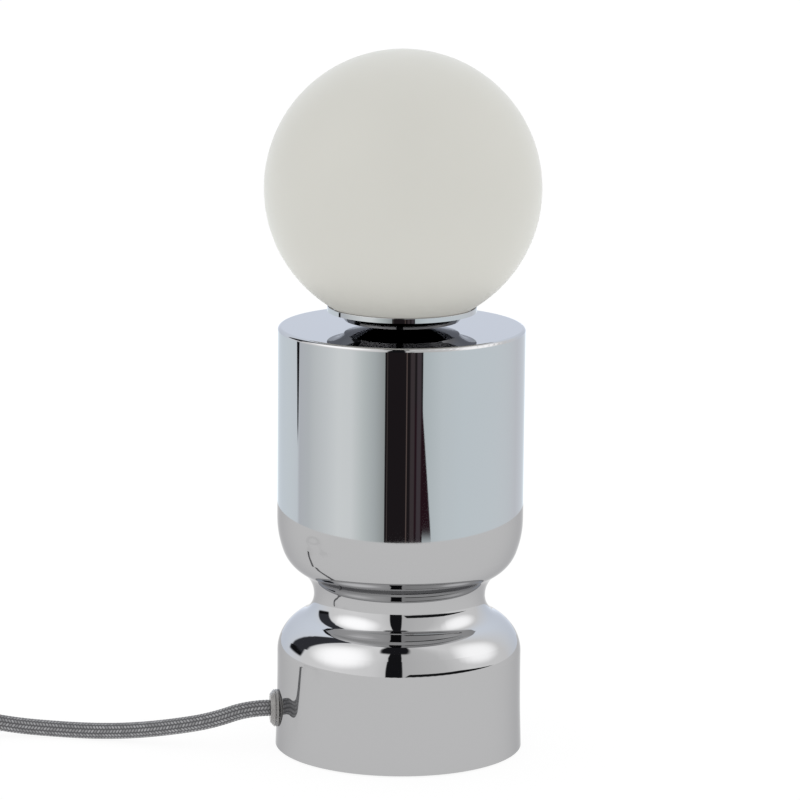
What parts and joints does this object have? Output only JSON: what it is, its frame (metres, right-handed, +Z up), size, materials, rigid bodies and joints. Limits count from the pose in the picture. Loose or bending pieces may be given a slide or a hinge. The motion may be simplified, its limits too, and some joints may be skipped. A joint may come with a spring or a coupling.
{
  "type": "table lamp",
  "caption": "Table lamp: waisted mirror-metal body on a flat foot carries an opal glass globe; a braided cord leaves low on one side, with an inline rocker switch and a plug.",
  "frame": {"origin": "on the table under the middle of the foot, on the body's axis", "axes": "+Z up along the body's axis; the cord leaves the body towards -X; Y to the side"},
  "size_m": [0.4574, 0.1231, 0.3079],
  "materials": {
    "chrome": "mirror polished",
    "black_foam": "matt closed-cell foam",
    "zinc_steel": "zinc plated",
    "cast_iron": "rough cast, painted",
    "clear_soft_plastic": "soft, satin",
    "spring_steel": "bright spring steel",
    "white_ceramic": "unglazed, fine",
    "brass": "bright",
    "white_plastic": "moulded, satin",
    "frosted_cover": "frosted",
    "board": "coated board with yellow lights",
    "opal_glass": "opal white, satin",
    "clear_plastic": "translucent, moulded",
    "black_plastic": "moulded",
    "grey_braid": "braided textile, herringbone",
    "brown_wire": "wire insulation",
    "white_wire": "wire insulation, heat proof",
    "grey_plastic": "moulded, fine grain",
    "nickel_pins": "nickel plated brass"
  },
  "bodies": {
    "lamp": {"body_shell": "chrome", "globe_dish": "chrome", "foot_pad": "black_foam", "base_plate": "zinc_steel", "seat_ring": "zinc_steel", "ballast_disc": "cast_iron", "stem_tube": "zinc_steel", "base_washer": "zinc_steel", "stem_nuts": "zinc_steel", "dish_spacer": "chrome", "dish_gasket": "clear_soft_plastic", "spring_clips": "spring_steel", "holder_bracket": "zinc_steel", "lampholder_body": "white_ceramic", "holder_screws": "zinc_steel", "holder_contacts": "brass", "cord_gland": "clear_plastic", "gland_nut": "white_plastic", "cord_clamp": "black_plastic", "clamp_screws": "zinc_steel", "terminal_block": "white_plastic", "terminal_inserts": "brass", "terminal_screws": "zinc_steel", "inner_cord": "grey_braid", "cord_cores": "brown_wire", "lamp_wires": "white_wire", "switch_base": "grey_plastic", "switch_cover": "grey_plastic", "switch_contacts": "brass", "switch_screws": "zinc_steel", "switch_cores": "brown_wire", "plug_body": "grey_plastic", "plug_pins": "nickel_pins", "plug_sleeves": "black_plastic", "cord_lamp_side": "grey_braid", "cord_mains_side": "grey_braid", "cord_coil": "grey_braid", "cord_tail": "grey_braid"},
    "globe": {"globe_crown": "opal_glass", "globe_bowl": "opal_glass"},
    "bulb": {"bulb_base": "white_plastic", "bulb_cover": "frosted_cover", "bulb_pins": "spring_steel", "bulb_board": "board"},
    "rocker": {"switch_rocker": "grey_plastic"}
  },
  "joints": [
    {"name": "globe_lift", "type": "slide", "parent": "lamp", "child": "globe", "axis": [0, 0, 1], "range_m": [0, 0.08]},
    {"name": "bulb_pull", "type": "slide", "parent": "lamp", "child": "bulb", "axis": [0, 0, 1], "range_m": [0, 0.01]},
    {"name": "switch_rock", "type": "hinge", "parent": "lamp", "child": "rocker", "pos_m": [-0.225, 0.0255, 0.012], "axis": [0, 1, 0], "range_deg": [0, 16]}
  ]
}
